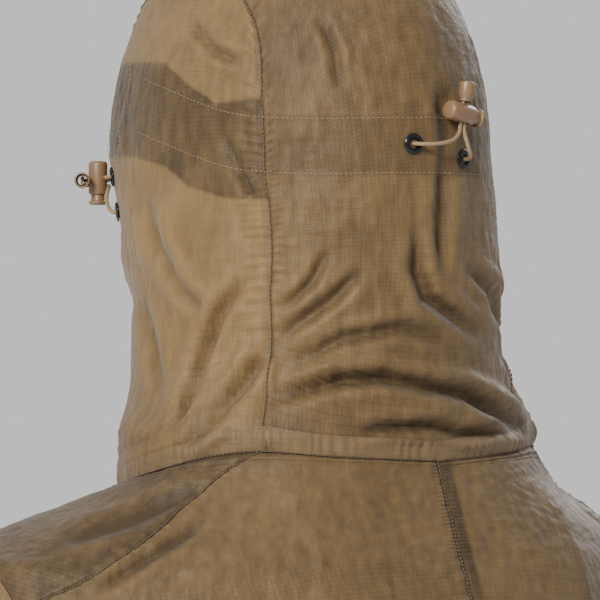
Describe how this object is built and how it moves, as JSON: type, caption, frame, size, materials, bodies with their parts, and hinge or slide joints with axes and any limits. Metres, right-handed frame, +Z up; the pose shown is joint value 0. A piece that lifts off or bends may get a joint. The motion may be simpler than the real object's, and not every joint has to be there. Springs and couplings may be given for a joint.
{
  "type": "hooded camouflage suit jacket",
  "caption": "Lightweight ripstop hooded suit jacket with sewn panels, a front zip, elastic drawcords through metal eyelets and spring cord locks.",
  "frame": {"origin": "middle of the ring where the hood joins the jacket, at the seam's height", "axes": "+X to the wearer's left, +Y behind the wearer, +Z up"},
  "size_m": [1.0474, 0.2611, 0.9336],
  "materials": {
    "ripstop": "thin coyote-brown ripstop cloth",
    "elastic_band": "doubled and gathered cloth band",
    "elastic_cord": "round braided elastic cord",
    "eyelet_metal": "glossy black enamel",
    "spring_steel": "plain drawn wire",
    "moulded_trim": "satin moulded plastic, coyote brown",
    "zip_tape": "woven tape",
    "zip_nylon": "nylon coil",
    "zip_metal": "dark painted die cast"
  },
  "bodies": {
    "jacket": {"back_drawcord_run_left": "elastic_cord", "back_drawcord_run_right": "elastic_cord", "back_eyelet_left": "eyelet_metal", "back_eyelet_right": "eyelet_metal", "back_lock_barrel": "moulded_trim", "back_lock_cord_end": "moulded_trim", "back_lock_spring": "spring_steel", "back_panel_left": "ripstop", "back_panel_right": "ripstop", "back_strand_left": "elastic_cord", "back_strand_right": "elastic_cord", "brow_drawcord_run": "elastic_cord", "chin_drawcord_run_left": "elastic_cord", "chin_drawcord_run_right": "elastic_cord", "cuff_left": "elastic_band", "cuff_right": "elastic_band", "face_eyelet_lower_left": "eyelet_metal", "face_eyelet_lower_right": "eyelet_metal", "face_eyelet_upper_left": "eyelet_metal", "face_eyelet_upper_right": "eyelet_metal", "face_hem_facing": "ripstop", "face_lock_left_barrel": "moulded_trim", "face_lock_left_cord_end": "moulded_trim", "face_lock_left_spring": "spring_steel", "face_lock_right_barrel": "moulded_trim", "face_lock_right_cord_end": "moulded_trim", "face_lock_right_spring": "spring_steel", "face_strand_lower_left": "elastic_cord", "face_strand_lower_right": "elastic_cord", "face_strand_upper_left": "elastic_cord", "face_strand_upper_right": "elastic_cord", "front_panel_left": "ripstop", "front_panel_right": "ripstop", "hem_band": "elastic_band", "hood_centre_panel": "ripstop", "hood_inner_band": "ripstop", "hood_side_left": "ripstop", "hood_side_right": "ripstop", "neck_seam_band": "elastic_band", "sleeve_left": "ripstop", "sleeve_right": "ripstop", "zip_bottom_box": "zip_nylon", "zip_coil_left": "zip_nylon", "zip_coil_right": "zip_nylon", "zip_stop_left": "zip_nylon", "zip_stop_right": "zip_nylon", "zip_tape_left": "zip_tape", "zip_tape_right": "zip_tape"},
    "back_lock_plunger": {"back_lock_plunger": "moulded_trim"},
    "face_lock_left_plunger": {"face_lock_left_plunger": "moulded_trim"},
    "face_lock_right_plunger": {"face_lock_right_plunger": "moulded_trim"},
    "zip_slider": {"zip_slider": "zip_metal"},
    "zip_pull": {"zip_pull": "zip_metal"}
  },
  "joints": [
    {"name": "back_lock_press", "type": "slide", "parent": "jacket", "child": "back_lock_plunger", "axis": [0.9754, 0.12, 0.1851], "range_m": [0, 0.003], "stiffness_N_per_m": 600, "springref_m": -0.001},
    {"name": "face_lock_left_press", "type": "slide", "parent": "jacket", "child": "face_lock_left_plunger", "axis": [0, 0, 1], "range_m": [0, 0.003], "stiffness_N_per_m": 600, "springref_m": -0.001},
    {"name": "face_lock_right_press", "type": "slide", "parent": "jacket", "child": "face_lock_right_plunger", "axis": [0, 0, 1], "range_m": [0, 0.003], "stiffness_N_per_m": 600, "springref_m": -0.001},
    {"name": "zip_run", "type": "slide", "parent": "jacket", "child": "zip_slider", "axis": [0, -0.0568, -0.9984], "range_m": [0, 0.68]},
    {"name": "zip_pull_swing", "type": "hinge", "parent": "zip_slider", "child": "zip_pull", "pos_m": [0, -0.10056, 0.03625], "axis": [-1, 0, 0], "range_deg": [0, 150]}
  ]
}
